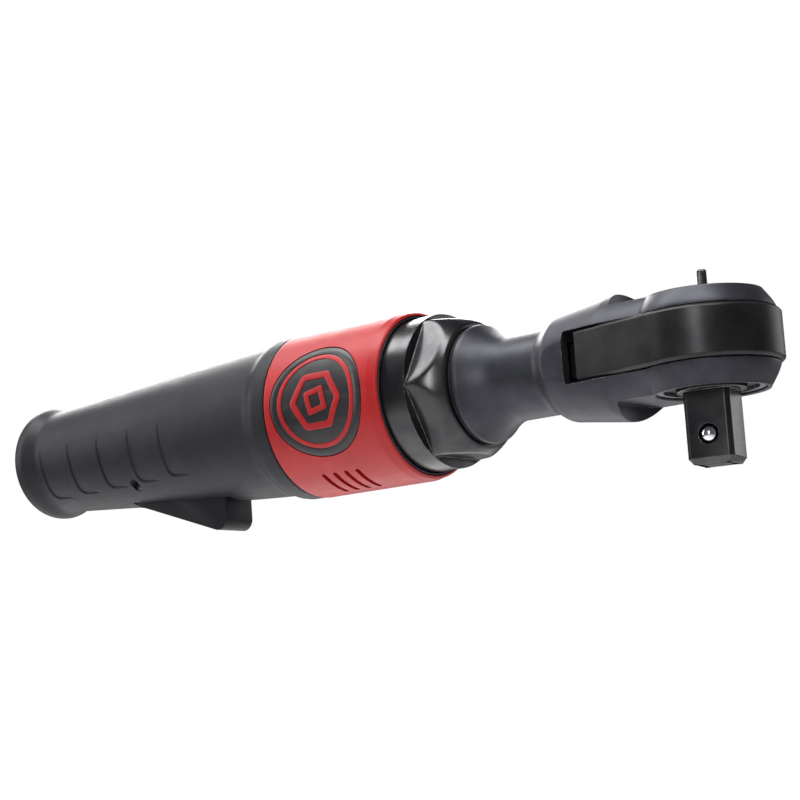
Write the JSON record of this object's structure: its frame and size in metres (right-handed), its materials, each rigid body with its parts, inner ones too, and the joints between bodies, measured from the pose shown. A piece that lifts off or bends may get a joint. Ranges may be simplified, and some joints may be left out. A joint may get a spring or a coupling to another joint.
{
  "type": "air ratchet",
  "caption": "Pneumatic ratchet wrench: tapered rubber grip with throttle lever, red motor sleeve, hexagonal coupling nut and forked head with a square drive.",
  "frame": {"origin": "centre of the square drive's end face", "axes": "+X from the air inlet towards the head, +Z from the square drive up to the reverse knob, -Y the badge side"},
  "size_m": [0.2725, 0.0496, 0.0571],
  "materials": {
    "rubber": "moulded rubber, satin",
    "lever_plastic": "moulded, satin",
    "red_plastic": "semi-gloss moulded",
    "badge_plastic": null,
    "black_steel": "black oxide, polished",
    "dark_steel": "dark phosphated, satin",
    "steel": "machined",
    "spring_steel": "drawn",
    "chrome": "polished",
    "aluminium": "machined",
    "bronze": "sintered",
    "brass": "turned",
    "phenolic": "laminated",
    "felt": "pressed felt",
    "seal_rubber": "matt"
  },
  "bodies": {
    "tool_body": {"motor_housing": "aluminium", "grip_cover": "rubber", "motor_sleeve": "red_plastic", "sleeve_badge": "badge_plastic", "sleeve_end_ring": "dark_steel", "exhaust_felt": "felt", "coupling_nut": "black_steel", "ratchet_housing": "dark_steel", "head_seal": "seal_rubber", "lower_anvil_bushing": "bronze", "upper_anvil_bushing": "bronze", "thrust_washer": "spring_steel", "drive_retaining_ring": "spring_steel", "ring_gear": "steel", "crank_bearing": "bronze", "cylinder": "steel", "cylinder_dowel": "steel", "front_end_plate": "steel", "rear_end_plate": "steel", "front_rotor_bearing": "chrome", "rear_rotor_bearing": "chrome", "lever_pin": "steel", "valve_bushing": "bronze", "valve_plug": "brass", "valve_spring": "spring_steel", "air_inlet_bushing": "steel", "inlet_screen": "brass"},
    "lever": {"throttle_lever": "lever_plastic"},
    "valve": {"valve_stem": "brass"},
    "rotor": {"rotor": "steel"},
    "vane_1": {"vane_1": "phenolic"},
    "vane_2": {"vane_2": "phenolic"},
    "vane_3": {"vane_3": "phenolic"},
    "vane_4": {"vane_4": "phenolic"},
    "vane_5": {"vane_5": "phenolic"},
    "crank": {"crankshaft": "steel", "drive_bushing": "bronze", "planet_pin_1": "steel", "planet_pin_2": "steel", "planet_pin_3": "steel"},
    "planet_1": {"planet_gear_1": "steel"},
    "planet_2": {"planet_gear_2": "steel"},
    "planet_3": {"planet_gear_3": "steel"},
    "yoke": {"ratchet_yoke": "dark_steel"},
    "anvil": {"ratchet_anvil": "black_steel", "detent_spring": "spring_steel", "pawl_pin": "steel"},
    "ball": {"detent_ball": "chrome"},
    "pawl": {"pawl": "steel"},
    "knob": {"reverse_knob": "black_steel", "pawl_spring": "spring_steel"},
    "plunger": {"pawl_plunger": "steel"}
  },
  "joints": [
    {"name": "throttle_lever_hinge", "type": "hinge", "parent": "tool_body", "child": "lever", "pos_m": [-0.2, 0, 0.01865], "axis": [0, -1, 0], "range_deg": [0, 7], "stiffness_Nm_per_rad": 1, "springref_deg": -28.65},
    {"name": "valve_stem_slide", "type": "slide", "parent": "tool_body", "child": "valve", "axis": [0, 0, 1], "range_m": [0, 0.00171], "deforming": ["valve_spring"]},
    {"name": "rotor_spin", "type": "hinge", "parent": "tool_body", "child": "rotor", "pos_m": [-0.1225, 0, 0.03235], "axis": [1, 0, 0], "continuous": true},
    {"name": "vane_1_slide", "type": "slide", "parent": "rotor", "child": "vane_1", "axis": [0, 0, -1], "range_m": [0, 0.0008]},
    {"name": "vane_2_slide", "type": "slide", "parent": "rotor", "child": "vane_2", "axis": [0, 0.9511, -0.309], "range_m": [0, 0.0008]},
    {"name": "vane_3_slide", "type": "slide", "parent": "rotor", "child": "vane_3", "axis": [0, 0.5878, 0.809], "range_m": [0, 0.0008]},
    {"name": "vane_4_slide", "type": "slide", "parent": "rotor", "child": "vane_4", "axis": [0, -0.5878, 0.809], "range_m": [0, 0.0008]},
    {"name": "vane_5_slide", "type": "slide", "parent": "rotor", "child": "vane_5", "axis": [0, -0.9511, -0.309], "range_m": [0, 0.0008]},
    {"name": "crank_spin", "type": "hinge", "parent": "tool_body", "child": "crank", "pos_m": [-0.06, 0, 0.03235], "axis": [1, 0, 0], "continuous": true},
    {"name": "planet_1_spin", "type": "hinge", "parent": "crank", "child": "planet_1", "pos_m": [-0.0912, 0.00946, 0.03235], "axis": [1, 0, 0], "continuous": true},
    {"name": "planet_2_spin", "type": "hinge", "parent": "crank", "child": "planet_2", "pos_m": [-0.0912, -0.00473, 0.04055], "axis": [1, 0, 0], "continuous": true},
    {"name": "planet_3_spin", "type": "hinge", "parent": "crank", "child": "planet_3", "pos_m": [-0.0912, -0.00473, 0.02415], "axis": [1, 0, 0], "continuous": true},
    {"name": "yoke_rock", "type": "hinge", "parent": "tool_body", "child": "yoke", "pos_m": [0, 0, 0.03285], "axis": [0, 0, 1], "range_deg": [-2.58, 2.58]},
    {"name": "anvil_spin", "type": "hinge", "parent": "tool_body", "child": "anvil", "pos_m": [0, 0, 0.03235], "axis": [0, 0, 1], "continuous": true},
    {"name": "reverse_knob_turn", "type": "hinge", "parent": "anvil", "child": "knob", "pos_m": [0, 0, 0.045], "axis": [0, 0, 1], "range_deg": [-76, 0]},
    {"name": "pawl_rock", "type": "hinge", "parent": "anvil", "child": "pawl", "pos_m": [0.00956, 0.00214, 0.03235], "axis": [0, 0, 1], "range_deg": [0, 10]},
    {"name": "plunger_slide", "type": "slide", "parent": "knob", "child": "plunger", "axis": [-0.6347, -0.7727, 0], "range_m": [0, 0.0005], "stiffness_N_per_m": 300, "springref_m": -0.002},
    {"name": "detent_ball_slide", "type": "slide", "parent": "anvil", "child": "ball", "axis": [-0.2181, 0.9759, 0], "range_m": [0, 0.0009], "stiffness_N_per_m": 800, "springref_m": -0.003}
  ],
  "couplings": [
    {"joint": "valve_stem_slide", "follows": "throttle_lever_hinge", "m_per_rad": 0.014},
    {"joint": "crank_spin", "follows": "rotor_spin", "ratio": 0.22222},
    {"joint": "planet_1_spin", "follows": "rotor_spin", "ratio": -0.62222},
    {"joint": "planet_2_spin", "follows": "rotor_spin", "ratio": -0.62222},
    {"joint": "planet_3_spin", "follows": "rotor_spin", "ratio": -0.62222},
    {"joint": "pawl_rock", "follows": "reverse_knob_turn", "ratio": -0.13158}
  ]
}
